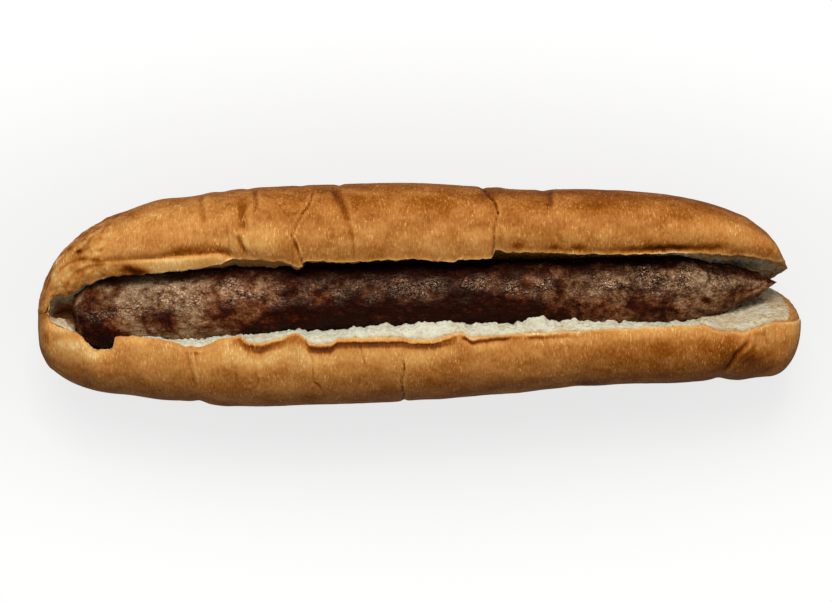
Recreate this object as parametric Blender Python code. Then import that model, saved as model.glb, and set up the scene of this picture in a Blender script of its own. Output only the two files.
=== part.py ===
"""Kofta sandwich at its real size, in metres, +Z up, lying on the back of its roll.

A long soft roll is split along its top. It stays joined along its back and round its near end, at -X.
At the far end, +X, the split runs out and leaves two tips. One long kofta of ground meat lies in the
split, blunt at -X and drawn out to a point at +X.

A section across the roll is drawn in two numbers: the offset from the split's own line, which wanders a
little in Y, and the height. The wall at +Y is called upper and the wall at -Y lower.
"""

import math

import bpy
import numpy as np

# The roll's length: its near end and the place where the split runs out.
NEAR_END = -0.150
FORK = 0.138

# The two tips past the fork, as (x, offset from the split's line, height), and how full each one is:
# the two powers of the superellipse that its sections shrink by.
UPPER_TIP = (0.1445, 0.0065, 0.042)
LOWER_TIP = (0.1502, -0.0130, 0.036)
UPPER_TIP_POWERS = (1.25, 1.0)
LOWER_TIP_POWERS = (2.2, 2.3)

# The roll across: how far each side reaches from the split's line, near -X and near +X, and from
# which x to which x it slims.
UPPER_REACH = 0.0450
UPPER_REACH_FAR = 0.0413
UPPER_SLIMMING = (-0.010, 0.050)
LOWER_REACH = 0.0420
LOWER_REACH_FAR = 0.0362
LOWER_SLIMMING = (-0.020, 0.088)

# Roundings towards an end: (x where it starts, its length, and the two powers of its superellipse).
UPPER_NEAR_ROUND = (-0.080, 0.070, 2.3, 2.5)
UPPER_FAR_ROUND = (0.040, 0.105, 3.0, 2.25)
LOWER_NEAR_ROUND = (-0.050, 0.100, 1.6, 2.9)
TOP_NEAR_ROUND = (-0.095, 0.055, 2.4, 2.2)
UPPER_TOP_FAR_ROUND = (0.080, 0.075, 2.4, 2.2)
LOWER_TOP_FAR_ROUND = (0.095, 0.060, 2.4, 2.2)
UNDER_NEAR_ROUND = (-0.100, 0.050, 2.2, 2.2)
UNDER_FAR_ROUND = (0.100, 0.055, 2.2, 2.2)
BED_NEAR_ROUND = (-0.120, 0.030, 2.0, 2.0)
WIDTH_NEAR_ROUND = (-0.124, 0.025, 2.2, 2.2)

# The roll's heights: widest place, crests, and how far a lip lies below its crest. The crest stands
# inside the reach, and the crust is as full as its two superellipse quarters' power.
WAIST = 0.031
UPPER_TOP = 0.064
LOWER_TOP = 0.060
LIP_DROP = 0.0045
CREST_SHARE = 0.36
CRUST_POWER = 2.2

# The flat spot on the ground, as a share of the reach.
REST_SHARE = 0.38

# The split's line in Y: a slope and a slight S-bend about its middle.
LINE_MIDDLE = 0.030
LINE_SHIFT = -0.0001
LINE_SLOPE = 0.014
LINE_BEND = 1.73

# The torn lips, as (x, offset from the split's line).
UPPER_LIP = (
    (-0.150, 0.0000), (-0.143, 0.0085), (-0.134, 0.0109), (-0.122, 0.0149), (-0.104, 0.0140),
    (-0.083, 0.0140), (-0.068, 0.0168), (-0.057, 0.0159), (-0.045, 0.0124), (-0.041, 0.0143),
    (0.027, 0.0137), (0.030, 0.0172), (0.037, 0.0160), (0.085, 0.0145), (0.100, 0.0144),
    (0.124, 0.0124), (0.138, 0.0092),
)
LOWER_LIP = (
    (-0.150, 0.0000), (-0.141, 0.0022), (-0.132, 0.0062), (-0.124, 0.0122), (-0.1175, 0.0122),
    (-0.115, 0.0095), (-0.103, 0.0117), (-0.084, 0.0174), (-0.070, 0.0142), (-0.060, 0.0172),
    (-0.048, 0.0146), (-0.040, 0.0182), (-0.029, 0.0167), (0.005, 0.0177), (0.016, 0.0159),
    (0.024, 0.0173), (0.050, 0.0160), (0.109, 0.0150), (0.124, 0.0183), (0.138, 0.0158),
)

# Creases across each wall, as (x, depth), all of one width.
CREASE_WIDTH = 0.0024
UPPER_CREASES = ((-0.067, 0.0016), (-0.046, 0.0011), (-0.027, 0.0008), (0.0285, 0.0012))
LOWER_CREASES = ((-0.086, 0.0011), (-0.0055, 0.0009))

# The groove that holds the kofta, from its bed to where it runs out at the fork.
GROOVE_ROOM = 0.0014
GROOVE_FLOOR = 0.0272
GROOVE_WALL_SHARE = 0.50
GROOVE_POWER = 2.0
FORK_GROOVE_POWER = 1.2
LEAST_WIDTH_SHARE = 0.45
FORK_FLOOR_ROOM = 0.0015
FORK_WIDTH_SHARE = 0.50
GROOVE_SINKS_FROM = 0.098
GROOVE_NARROWS_FROM = 0.104
LIP_FLARE = 1.6

# The kofta.
KOFTA_START = -0.1354
KOFTA_END = 0.1402
KOFTA_RADIUS = 0.0133
KOFTA_THINNING = 0.004
KOFTA_HEIGHT = 0.0427
KOFTA_BLUNT_LENGTH = 0.0134
KOFTA_BLUNT_POWER = 2.2
KOFTA_TAPER_START = 0.100
KOFTA_TAPER_POWERS = (1.9, 0.95)
KOFTA_NEAR_SHIFT = 0.0013
KOFTA_NEAR_BEND = (0.095, 0.130)
KOFTA_FAR_SHIFT = 0.0010
KOFTA_FAR_BEND = (0.110, 0.138)
LUMP_DEPTH = 0.0003

# The waves of its lumps: (radians a metre along it, where along it starts, times round it, phase).
LUMP_WAVES = ((210.0, 1.3, 2, 0.4), (330.0, 0.7, 3, 0.33), (95.0, 0.6, 1, 2.1))

# The finishes: linear colours and roughness.
CRUST_COLOUR = (0.52, 0.27, 0.09)
CRUST_ROUGHNESS = 0.62
MEAT_COLOUR = (0.13, 0.065, 0.035)
MEAT_ROUGHNESS = 0.45

# How finely the solids are drawn.
ROW_STEP = 0.0070
LEAST_ROW_STEP = 0.0014
NEAR_ROWS = 5
NEAR_LENGTH = 0.012
CREASE_ROWS = (-1.6, -0.8, 0.0, 0.8, 1.6)
TIP_ROWS = 6
REST_COLUMNS = 2
UNDER_COLUMNS = 5
OVER_COLUMNS = 6
CREST_COLUMNS = 3
WALL_COLUMNS = 3
BED_COLUMNS = 4
KOFTA_SIDES = 18
KOFTA_STEP = 0.0056
KOFTA_BLUNT_ROWS = 4
SHARP_ANGLE = math.radians(50)


def clear_scene():
    """Removes every object that is already there."""
    for thing in list(bpy.data.objects):
        bpy.data.objects.remove(thing, do_unlink=True)


def finish(name, colour, roughness):
    """A matte surface of one colour."""
    material = bpy.data.materials.new(name)
    material.use_nodes = True
    shader = material.node_tree.nodes["Principled BSDF"]
    shader.inputs["Base Color"].default_value = (*colour, 1.0)
    shader.inputs["Roughness"].default_value = roughness
    shader.inputs["Metallic"].default_value = 0.0
    material.diffuse_color = (*colour, 1.0)
    return material


def add_solid(name, points, faces, material):
    """One named object from points and faces, shaded smooth apart from its sharp edges."""
    mesh = bpy.data.meshes.new(name)
    mesh.from_pydata(points.tolist(), [], faces)
    mesh.materials.append(material)
    mesh.shade_smooth()
    mesh.set_sharp_from_angle(angle=SHARP_ANGLE)
    solid = bpy.data.objects.new(name, mesh)
    bpy.context.scene.collection.objects.link(solid)
    return solid


def round_off(distance, length, first, second):
    """1 before the rounding starts, then down a superellipse to 0 at the rounding's full length."""
    share = np.clip(distance / length, 0.0, 1.0)
    return (1.0 - share**first) ** (1.0 / second)


def near_round(x, start, length, first, second):
    """A rounding from start towards -X."""
    return round_off(start - x, length, first, second)


def far_round(x, start, length, first, second):
    """A rounding from start towards +X."""
    return round_off(x - start, length, first, second)


def eased_step(x, start, end):
    """0 before start, 1 after end, smooth between."""
    share = np.clip((x - start) / (end - start), 0.0, 1.0)
    return share * share * (3.0 - 2.0 * share)


def along(stations, x):
    """The value at x, eased between (x, value) stations."""
    places, values = np.array(stations).T
    after = np.clip(np.searchsorted(places, x), 1, len(places) - 1)
    share = eased_step(x, places[after - 1], places[after])
    return values[after - 1] + (values[after] - values[after - 1]) * share


def split_line(x):
    """Y of the split's line."""
    away = x - LINE_MIDDLE
    return LINE_SHIFT + LINE_SLOPE * away + LINE_BEND * away**3


def creases(x, places):
    """How deep the creases dent a wall at x."""
    dents = [depth * np.exp(-(((x - place) / CREASE_WIDTH) ** 2)) for place, depth in places]
    return sum(dents)


def upper_reach(x):
    """The upper side's offset: slightly slimmer towards +X, round at -X, drawn in to a tip at +X."""
    body = UPPER_REACH + (UPPER_REACH_FAR - UPPER_REACH) * eased_step(x, *UPPER_SLIMMING)
    rounded = body * near_round(x, *UPPER_NEAR_ROUND) * far_round(x, *UPPER_FAR_ROUND)
    return rounded - creases(x, UPPER_CREASES)


def lower_reach(x):
    """The lower side's offset: widest left of the middle, round at -X and still wide at the fork."""
    body = LOWER_REACH + (LOWER_REACH_FAR - LOWER_REACH) * eased_step(x, *LOWER_SLIMMING)
    return body * near_round(x, *LOWER_NEAR_ROUND) - creases(x, LOWER_CREASES)


def top_height(x, top, far_rounding, places):
    """The height of a wall's crest, which comes down to the waist towards both ends."""
    rounded = (top - WAIST) * near_round(x, *TOP_NEAR_ROUND) * far_round(x, *far_rounding)
    return WAIST + rounded - creases(x, places)


def underside_height(x):
    """The height of the underside: flat on the ground in the middle, lifting towards both ends."""
    return WAIST * (1.0 - near_round(x, *UNDER_NEAR_ROUND) * far_round(x, *UNDER_FAR_ROUND))


def kofta_shift(x):
    """How far the kofta's middle lies from the split's line, towards +Y, at both ends."""
    near = KOFTA_NEAR_SHIFT * eased_step(-x, *KOFTA_NEAR_BEND)
    return near + KOFTA_FAR_SHIFT * eased_step(x, *KOFTA_FAR_BEND)


def groove_floor(x):
    """The height of the groove's floor: it sinks from the kofta's bed to the roll's back at the fork."""
    bed = WAIST + (GROOVE_FLOOR - WAIST) * near_round(x, *BED_NEAR_ROUND)
    fork = underside_height(np.full_like(x, FORK)) + FORK_FLOOR_ROOM
    return bed + (fork - bed) * eased_step(x, GROOVE_SINKS_FROM, FORK)


def groove_half_width(x, lip, shift):
    """The groove's half width halfway down: round the kofta, then a share of the lip's offset."""
    room = KOFTA_RADIUS - KOFTA_THINNING * x + GROOVE_ROOM + shift
    held = np.maximum(room * near_round(x, *WIDTH_NEAR_ROUND), LEAST_WIDTH_SHARE * lip)
    return held + (FORK_WIDTH_SHARE * lip - held) * eased_step(x, GROOVE_NARROWS_FROM, FORK)


def quarter(start, end, power, columns, across_first):
    """A superellipse quarter from start to end, without its first point; each is (offset, height).

    It leaves start level when across_first is true, and upright when it is false.
    """
    turn = np.linspace(0.0, np.pi / 2, columns + 1)[1:]
    rising = np.sin(turn) ** (2.0 / power)
    level = 1.0 - np.clip(np.cos(turn), 0.0, 1.0) ** (2.0 / power)
    shares = (rising, level) if across_first else (level, rising)
    return [
        first[:, None] + (last - first)[:, None] * share
        for first, last, share in zip(start, end, shares)
    ]


def outer_side(x, reach, top, lip):
    """Offsets and heights of one side's crust, from under the roll round to the lip."""
    rest = REST_SHARE * reach
    ground = underside_height(x)
    waist = np.full_like(x, WAIST)
    crest = lip + CREST_SHARE * (reach - lip)
    flat_share = np.linspace(0.0, 1.0, REST_COLUMNS + 1)
    flat = [rest[:, None] * flat_share, ground[:, None] + 0.0 * flat_share]
    under = quarter((rest, ground), (reach, waist), CRUST_POWER, UNDER_COLUMNS, True)
    over = quarter((reach, waist), (crest, top), CRUST_POWER, OVER_COLUMNS, False)
    inward = np.linspace(0.0, 1.0, CREST_COLUMNS + 1)[1:]
    drop = LIP_DROP * (top - WAIST) / (UPPER_TOP - WAIST)
    roll_in = [
        crest[:, None] + (lip - crest)[:, None] * inward,
        top[:, None] - drop[:, None] * inward**2,
    ]
    return [np.concatenate([piece[k] for piece in (flat, under, over, roll_in)], axis=1) for k in (0, 1)]


def inner_side(x, lip, lip_height, shift):
    """Offsets and heights of one side's cut face, from just below the lip to the groove's floor."""
    floor = groove_floor(x)
    level = floor + GROOVE_WALL_SHARE * (lip_height - floor)
    width = groove_half_width(x, lip, shift)
    down = np.linspace(0.0, 1.0, WALL_COLUMNS + 1)[1:]
    wall = [
        width[:, None] + (lip - width)[:, None] * (1.0 - down) ** LIP_FLARE,
        lip_height[:, None] + (level - lip_height)[:, None] * down,
    ]
    sunk = eased_step(x, GROOVE_SINKS_FROM, FORK)
    power = (GROOVE_POWER + (FORK_GROOVE_POWER - GROOVE_POWER) * sunk)[:, None]
    bed = quarter((width, level), (np.zeros_like(x), floor), power, BED_COLUMNS, False)
    return [np.concatenate([wall[k], bed[k]], axis=1) for k in (0, 1)]


def rings(x):
    """Closed section loops at each x: up the upper side, in over its lip, through the groove and down."""
    upper_lip, lower_lip = along(UPPER_LIP, x), along(LOWER_LIP, x)
    upper_top = top_height(x, UPPER_TOP, UPPER_TOP_FAR_ROUND, UPPER_CREASES)
    lower_top = top_height(x, LOWER_TOP, LOWER_TOP_FAR_ROUND, LOWER_CREASES)
    upper_skin = outer_side(x, upper_reach(x), upper_top, upper_lip)
    lower_skin = outer_side(x, lower_reach(x), lower_top, lower_lip)
    upper_cut = inner_side(x, upper_lip, upper_skin[1][:, -1], kofta_shift(x))
    lower_cut = inner_side(x, lower_lip, lower_skin[1][:, -1], 0.0)
    mirror = (-1.0, 1.0)
    offsets, heights = [
        np.concatenate(
            [
                upper_skin[k],
                upper_cut[k],
                mirror[k] * lower_cut[k][:, -2::-1],
                mirror[k] * lower_skin[k][:, :0:-1],
            ],
            axis=1,
        )
        for k in (0, 1)
    ]
    depth = np.broadcast_to(x[:, None], offsets.shape)
    return np.stack([depth, split_line(x)[:, None] + offsets, heights], axis=2)


def row_places():
    """Where the sections stand: round the near end, at each lip station and crease, and between."""
    turn = np.linspace(0.0, np.pi / 2, NEAR_ROWS + 1)[1:]
    places = list(NEAR_END + NEAR_LENGTH * (1.0 - np.cos(turn)))
    lips = [place for place, _ in UPPER_LIP + LOWER_LIP]
    folds = [
        place + step * CREASE_WIDTH
        for place, _ in UPPER_CREASES + LOWER_CREASES
        for step in CREASE_ROWS
    ]
    for mark in sorted(lips + folds):
        gap = mark - places[-1]
        if gap >= LEAST_ROW_STEP:
            count = math.ceil(gap / ROW_STEP)
            places += list(np.linspace(places[-1], mark, count + 1)[1:])
    return np.array(places)


def tip_loops(loop, tip, powers):
    """Loops that close one wall's tip, each a smaller copy of the wall's section about the tip's point."""
    share = 1.0 - (1.0 - np.arange(1, TIP_ROWS) / TIP_ROWS) ** 2
    scale = round_off(share, 1.0, *powers)
    point = np.array(tip) + (0.0, split_line(FORK), 0.0)
    loops = point + (loop - point) * scale[:, None, None]
    loops[..., 0] = FORK + (point[0] - FORK) * share[:, None]
    return loops, point


def strip(first, second):
    """Faces between two closed rows of point numbers, the second further along +X."""
    count = len(first)
    return [
        (first[i], first[(i + 1) % count], second[(i + 1) % count], second[i])
        for i in range(count)
    ]


def fan(row, point):
    """Faces from a closed row of point numbers to one point."""
    count = len(row)
    return [(row[i], row[(i + 1) % count], point) for i in range(count)]


def tube_faces(rows):
    """Faces between each row of point numbers and the next."""
    return [face for first, second in zip(rows, rows[1:]) for face in strip(first, second)]


def build_roll(material):
    """The roll: loops along its length, closed by a point at -X and by a tip on each wall past the fork."""
    loops = rings(row_places())
    body = loops.reshape(-1, 3)
    rows = np.arange(len(body)).reshape(loops.shape[:2]).tolist()
    points = [body, np.array([[NEAR_END, split_line(NEAR_END), WAIST]])]
    faces = fan(rows[0][::-1], len(body)) + tube_faces(rows)
    skin_columns = REST_COLUMNS + UNDER_COLUMNS + OVER_COLUMNS + CREST_COLUMNS
    floor = skin_columns + WALL_COLUMNS + BED_COLUMNS
    upper_wall = rows[-1][: floor + 1]
    lower_wall = rows[-1][floor:] + rows[-1][:1]
    total = len(body) + 1
    for wall, tip, powers in (
        (upper_wall, UPPER_TIP, UPPER_TIP_POWERS),
        (lower_wall, LOWER_TIP, LOWER_TIP_POWERS),
    ):
        extra, point = tip_loops(body[wall], tip, powers)
        added = np.arange(total, total + extra.shape[0] * len(wall)).reshape(extra.shape[0], -1)
        faces += tube_faces([wall] + added.tolist())
        total += added.size + 1
        faces += fan(added[-1].tolist(), total - 1)
        points += [extra.reshape(-1, 3), point[None]]
    return add_solid("roll", np.concatenate(points), faces, material)


def kofta_line(x):
    """Y of the kofta's middle."""
    return split_line(x) + kofta_shift(x)


def kofta_radius(x):
    """The kofta's radius: blunt at its start, thinning slightly, drawn out to a point at its end."""
    body = KOFTA_RADIUS - KOFTA_THINNING * x
    blunt_end = KOFTA_START + KOFTA_BLUNT_LENGTH
    blunt = near_round(x, blunt_end, KOFTA_BLUNT_LENGTH, KOFTA_BLUNT_POWER, KOFTA_BLUNT_POWER)
    taper = far_round(x, KOFTA_TAPER_START, KOFTA_END - KOFTA_TAPER_START, *KOFTA_TAPER_POWERS)
    return body * blunt * taper


def lumps(x, turn):
    """Soft unevenness of the meat, from waves along and round it."""
    waves = [
        np.sin(pace * x + start) * np.cos(times * turn + phase)
        for pace, start, times, phase in LUMP_WAVES
    ]
    return LUMP_DEPTH * sum(waves)


def build_kofta(material):
    """The kofta: uneven rings along its line, closed by a point at each end."""
    turn = np.linspace(0.0, np.pi / 2, KOFTA_BLUNT_ROWS + 1)[1:]
    blunt = KOFTA_START + KOFTA_BLUNT_LENGTH * (1.0 - np.cos(turn))
    count = math.ceil((KOFTA_END - blunt[-1]) / KOFTA_STEP)
    x = np.concatenate([blunt, np.linspace(blunt[-1], KOFTA_END, count + 1)[1:-1]])
    around = np.linspace(0.0, 2.0 * np.pi, KOFTA_SIDES, endpoint=False)
    radius = kofta_radius(x)[:, None]
    radius = radius + lumps(x[:, None], around) * radius / KOFTA_RADIUS
    y = kofta_line(x)[:, None] + radius * np.cos(around)
    z = KOFTA_HEIGHT + radius * np.sin(around)
    loops = np.stack([np.broadcast_to(x[:, None], y.shape), y, z], axis=2).reshape(-1, 3)
    ends = np.array([[end, kofta_line(end), KOFTA_HEIGHT] for end in (KOFTA_START, KOFTA_END)])
    rows = np.arange(len(loops)).reshape(len(x), KOFTA_SIDES).tolist()
    faces = fan(rows[0][::-1], len(loops)) + tube_faces(rows) + fan(rows[-1], len(loops) + 1)
    return add_solid("kofta", np.concatenate([loops, ends]), faces, material)


def main():
    clear_scene()
    build_roll(finish("bread_crust", CRUST_COLOUR, CRUST_ROUGHNESS))
    build_kofta(finish("kofta_meat", MEAT_COLOUR, MEAT_ROUGHNESS))


main()
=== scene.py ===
"""The looks of a kofta sandwich: a torn soft roll with browned crust and white crumb, round one long kofta.

Lengths are in millimetres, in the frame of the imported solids: X along the roll, Y across it, Z up. MM turns
them into metres where a mesh is made. A section of the roll is drawn in two numbers, the offset from the
line that the roll is split along and the height. The wall at +Y is called upper and the wall at -Y lower.
"""

import math

import bmesh
import bpy
import numpy as np
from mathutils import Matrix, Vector


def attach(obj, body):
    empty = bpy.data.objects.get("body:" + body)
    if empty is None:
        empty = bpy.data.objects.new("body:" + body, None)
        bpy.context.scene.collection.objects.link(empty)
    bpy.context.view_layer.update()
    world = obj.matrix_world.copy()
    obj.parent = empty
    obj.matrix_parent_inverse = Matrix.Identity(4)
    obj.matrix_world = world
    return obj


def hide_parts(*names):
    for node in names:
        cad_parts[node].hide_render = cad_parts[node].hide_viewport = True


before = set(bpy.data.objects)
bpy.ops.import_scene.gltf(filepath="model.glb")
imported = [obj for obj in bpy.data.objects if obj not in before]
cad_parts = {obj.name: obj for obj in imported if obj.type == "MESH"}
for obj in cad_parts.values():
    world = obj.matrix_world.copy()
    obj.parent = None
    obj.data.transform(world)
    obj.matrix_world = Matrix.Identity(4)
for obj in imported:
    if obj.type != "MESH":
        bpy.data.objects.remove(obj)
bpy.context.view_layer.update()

MM = 0.001

# ---- the roll's measures

NEAR_END = -150
FORK = 138
# The far tips, upper (1) and lower (-1): (x, offset from the split's line, height), and the two powers of
# the superellipse that closes them.
TIPS = {1: ((144.5, 6.5, 42), (1.25, 1)), -1: ((150.2, -13, 36), (2.2, 2.3))}

# How far each side reaches from the split's line, near and far, and where it slims from one to the other.
REACH = {1: (45, 41.3), -1: (42, 36.2)}
SLIMMING = {1: (-10, 50), -1: (-20, 88)}
WAIST = 31
TOP = {1: 64, -1: 60}
REST_SHARE = 0.38
CRUST_POWER = 2.2
# From each wall's lip to its crest: the share of the way to the widest line, and how far the lip droops.
CREST = {1: (0.36, 4.5), -1: (0.1, 1.6)}

# Roundings towards an end: x where it starts, its length, and the two powers of its superellipse.
NEAR_ROUND = {1: (-80, 70, 2.3, 2.5), -1: (-50, 100, 1.6, 2.9)}
UPPER_FAR_ROUND = (40, 105, 3, 2.25)
TOP_NEAR_ROUND = (-95, 55, 2.4, 2.2)
TOP_FAR_ROUND = {1: (80, 75, 2.4, 2.2), -1: (95, 60, 2.4, 2.2)}
UNDER_NEAR_ROUND = (-100, 50, 2.2, 2.2)
UNDER_FAR_ROUND = (100, 55, 2.2, 2.2)
BED_NEAR_ROUND = (-120, 30, 2, 2)

# The split's line: y = shift + slope * away + bend * away^3, away being x from its middle.
LINE_MIDDLE = 30
LINE_SHIFT = -0.1
LINE_SLOPE = 0.014
LINE_BEND = 1.73e-6

# The torn lips, as (x, offset from the split's line).
UPPER_LIP = (
    (-144.3, 4.6), (-143.3, 8.4), (-141.8, 9.7), (-139.6, 10.4), (-135, 10), (-132.4, 10.8),
    (-130, 11.6), (-125.9, 12.6), (-121.9, 13.7), (-116, 14.3), (-110.2, 14.2), (-106.3, 13.8), (-91, 13.9),
    (-83.3, 14), (-75.7, 15.2), (-70, 16.7), (-60.4, 16.3), (-52.8, 15.2), (-45.6, 12.4), (-44.2, 12.6),
    (-42.8, 14.5), (-37.5, 14.3), (-29.8, 13.6), (-14.6, 14.1), (-2.7, 14.3), (13, 12.7), (16, 13.4),
    (28.2, 14), (29.2, 17.6), (35.1, 16.2), (46.6, 16), (61.9, 15.1), (84.8, 14.4), (96.3, 14.6),
    (107.9, 13.8), (123.6, 12.4), (135, 10.2), (138, 9.2),
)
LOWER_LIP = (
    (-144.3, -4.6), (-143.3, -1), (-142, 0.2), (-139.6, 1.6), (-136, 3.3), (-132.4, 4.8),
    (-129.3, 6.6), (-127.9, 8.9), (-126, 11.2), (-123.6, 12.9), (-118.6, 13.4), (-117.1, 13.2),
    (-116.4, 8.9), (-110.7, 9.1), (-102.9, 10.5), (-95.2, 12.7), (-87.5, 15.5), (-83.7, 16.2),
    (-74.1, 13.2), (-68.4, 12.9), (-64.5, 15.4), (-59.9, 16.2), (-53, 14.5), (-46.5, 13.2), (-43.4, 14.9),
    (-41.2, 17), (-33.8, 17.2), (-30.7, 15.4), (-18.5, 15.6), (-8.9, 15.6), (-1.2, 16.5), (4.6, 16.7),
    (16.1, 14.5), (21.8, 16.2), (29.5, 15.5), (54.5, 14.7), (69.8, 13.9), (96.7, 13.7), (108.2, 13.8),
    (116, 16.3), (125, 17), (131.1, 15.7), (138, 14.6),
)

# The split closes at -X over this stretch, and the closed lips keep this hair's breadth between them.
SPLIT_CLOSES = (-141.6, -144.2)
SEAM_GAP = 0.03
# The most that a lip's offset may be, as a share of its side's.
LIP_LIMIT = 0.92

# The split's bed under the kofta.
GROOVE_FLOOR = 27.2
GROOVE_SINKS_FROM = 98
FORK_FLOOR_ROOM = 1.5
BED_RISES = (-141, -147.5)
BED_TO_LIP = 3
# Where the torn faces open out to a plain slope.
SLOPE_OPENS = (98, 128)

# The crust's thickness, and how far its torn edge slants in past the lip, as a share of it.
SKIN = 1.3
SKIN_SLANT = 0.6
# The crust thins at a tip, where this many times its scale falls below 1. Lips this far apart are fully torn.
TIP_SKIN = 2.5
OPEN_FROM = 3
# In skins below and past the lip: the middle of the torn edge, and the point where the crumb starts.
EDGE_MIDDLE = (0.45, 0.62)
CRUMB_START = (0.8, 0.8)
# In skins: how deep the crumb lies in the crust, and how far back the tips and the near end stop inside it.
CRUMB_DEPTH = 0.6
CRUST_TIP_SET_IN = 0.3
CRUMB_TIP_SET_IN = 0.2
CRUMB_NEAR_SET_IN = 0.5
# The tone of the crust's hidden inside, and the angle in degrees past which an edge of it stays sharp.
INSIDE_TONE = 0.6
CRUST_SHARP = 50

# The kofta: its blunt end has a length and a power, and its relief fades where its radius is below the last.
KOFTA_START = -134
KOFTA_END = 140.2
KOFTA_RADIUS = 13.3
KOFTA_THINNING = 0.004
KOFTA_HEIGHT = 42.7
KOFTA_BLUNT = (13.4, 2.4)
KOFTA_TAPER_START = 100
KOFTA_TAPER_POWERS = (1.9, 0.95)
KOFTA_NEAR_SHIFT = 1.3
KOFTA_FAR_SHIFT = 1
KOFTA_FADE_RADIUS = 4

# How finely the meshes are drawn.
ROW_STEP = 0.66
POLE_ROWS = 12
POLE_LENGTH = 12
TIP_ROWS = 20
TIP_FADE_ROWS = 7
FLAT_COLUMNS = 3
SETTLE_COLUMNS = 7
UNDER_COLUMNS = 12
# From the widest line to the crest, and from there to the lip.
WALL_COLUMNS = {1: (42, 20), -1: (52, 10)}
INNER_STRIDE = 4


# ---- noise


# Large odd numbers that scatter the bits, and the largest number of 32 bits.
HASH_FACTORS = np.array((374761393, 668265263, 2246822519, 3266489917), np.uint32)
HASH_MOST = 4294967295


def hashed(cells, seed):
    """A number from 0 to 1 for each whole-number cell: its three coordinates multiplied, mixed and cut."""
    mixed = sum(cells[..., k].astype(np.uint32) * HASH_FACTORS[k] for k in range(3))
    mixed = mixed + np.uint32(seed * 97 + 13) * HASH_FACTORS[3]
    for shift, factor in ((15, HASH_FACTORS[2]), (13, HASH_FACTORS[3])):
        mixed = (mixed ^ (mixed >> np.uint32(shift))) * factor
    mixed = mixed ^ (mixed >> np.uint32(16))
    return mixed.astype(np.float64) / HASH_MOST


def corners(places):
    """The whole cell below each place, and how far the place lies into it."""
    low = np.floor(places)
    return low.astype(np.int64), places - low


def value_noise(points, size, seed):
    """Smooth noise from -1 to 1: hashed corner values of cells of that size, blended by smoothstep."""
    low, part = corners(points / np.asarray(size, float))
    part = part * part * (3 - 2 * part)
    total = 0
    for step in np.ndindex(2, 2, 2):
        weight = np.prod(np.where(np.array(step) == 1, part, 1 - part), axis=-1)
        total += weight * hashed(low + np.array(step), seed)
    return 2 * total - 1


def fractal(points, size, octaves, seed, gain=0.5):
    """Value noise summed over octaves, each half the size and gain times the strength of the last."""
    strengths = gain ** np.arange(octaves)
    layers = [
        strength * value_noise(points, np.asarray(size, float) / 2**level, seed + 17 * level)
        for level, strength in enumerate(strengths)
    ]
    return sum(layers) / strengths.sum()


def cells(points, size, seed):
    """Distance to the nearest scattered point, one in each cell of that size, in cell sizes, and its hash."""
    low, part = corners(points / np.asarray(size, float))
    nearest = np.full(points.shape[:-1], np.inf)
    owner = np.zeros(points.shape[:-1])
    for step in np.ndindex(3, 3, 3):
        cell = low + np.array(step) - 1
        spot = np.stack([hashed(cell, seed + k) for k in range(3)], axis=-1)
        away = np.linalg.norm(np.array(step) - 1 + spot - part, axis=-1)
        closer = away < nearest
        owner = np.where(closer, hashed(cell, seed + 5), owner)
        nearest = np.where(closer, away, nearest)
    return nearest, owner


def dome(distance):
    """A rounded bump over each scattered point: high at the point, flat-bottomed between."""
    return np.clip(1 - 1.5 * distance**2, 0, 1)


def bent_by(points, strength, size, seed):
    """The points moved by noise of that size, up to strength along each axis; three seeds from seed on."""
    return points + strength * np.stack([fractal(points, size, 2, seed + k) for k in range(3)], axis=-1)


def on_axis(x):
    """Points on the X axis, to read noise that changes along x alone."""
    return np.stack([x, 0 * x, 0 * x], axis=-1)


# ---- curves and stations


def round_off(distance, length, first, second):
    """1 before the rounding starts, then down a superellipse to 0 at its full length."""
    share = np.clip(distance / length, 0, 1)
    return (1 - share**first) ** (1 / second)


def near_round(x, start, length, first, second):
    """A rounding from start towards -X."""
    return round_off(start - x, length, first, second)


def far_round(x, start, length, first, second):
    """A rounding from start towards +X."""
    return round_off(x - start, length, first, second)


def eased(x, start, end):
    """0 at start and 1 at end, smooth between, flat outside; end may lie below start."""
    share = np.clip((x - start) / (end - start), 0, 1)
    return share * share * (3 - 2 * share)


def bell(distance, width):
    """1 at the middle, falling as a bell curve."""
    return np.exp(-((distance / width) ** 2))


def blend(first, last, share):
    """The value that lies that share of the way from first to last."""
    return first + (last - first) * share


def columns_between(first, last, share):
    """blend for each row's own first and last value, with one column for each share."""
    return blend(first[:, None], last[:, None], share)


def along(stations, x):
    """The value at x, eased between (x, value) stations."""
    places, values = np.array(stations, float).T
    after = np.clip(np.searchsorted(places, x), 1, len(places) - 1)
    share = eased(x, places[after - 1], places[after])
    return blend(values[after - 1], values[after], share)


def split_line(x):
    """Y of the line that the roll is split along: a slope and a cubic S-bend about its middle."""
    away = x - LINE_MIDDLE
    return LINE_SHIFT + LINE_SLOPE * away + LINE_BEND * away**3


def quarter(start, end, power, columns, across_first):
    """A superellipse quarter between two (offset, height) curves, without its first point."""
    turn = np.linspace(0, np.pi / 2, columns + 1)[1:]
    rising = np.sin(turn) ** (2 / power)
    level = 1 - np.clip(np.cos(turn), 0, 1) ** (2 / power)
    shares = (rising, level) if across_first else (level, rising)
    return [columns_between(first, last, share) for first, last, share in zip(start, end, shares)]


# ---- the roll's section


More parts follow.
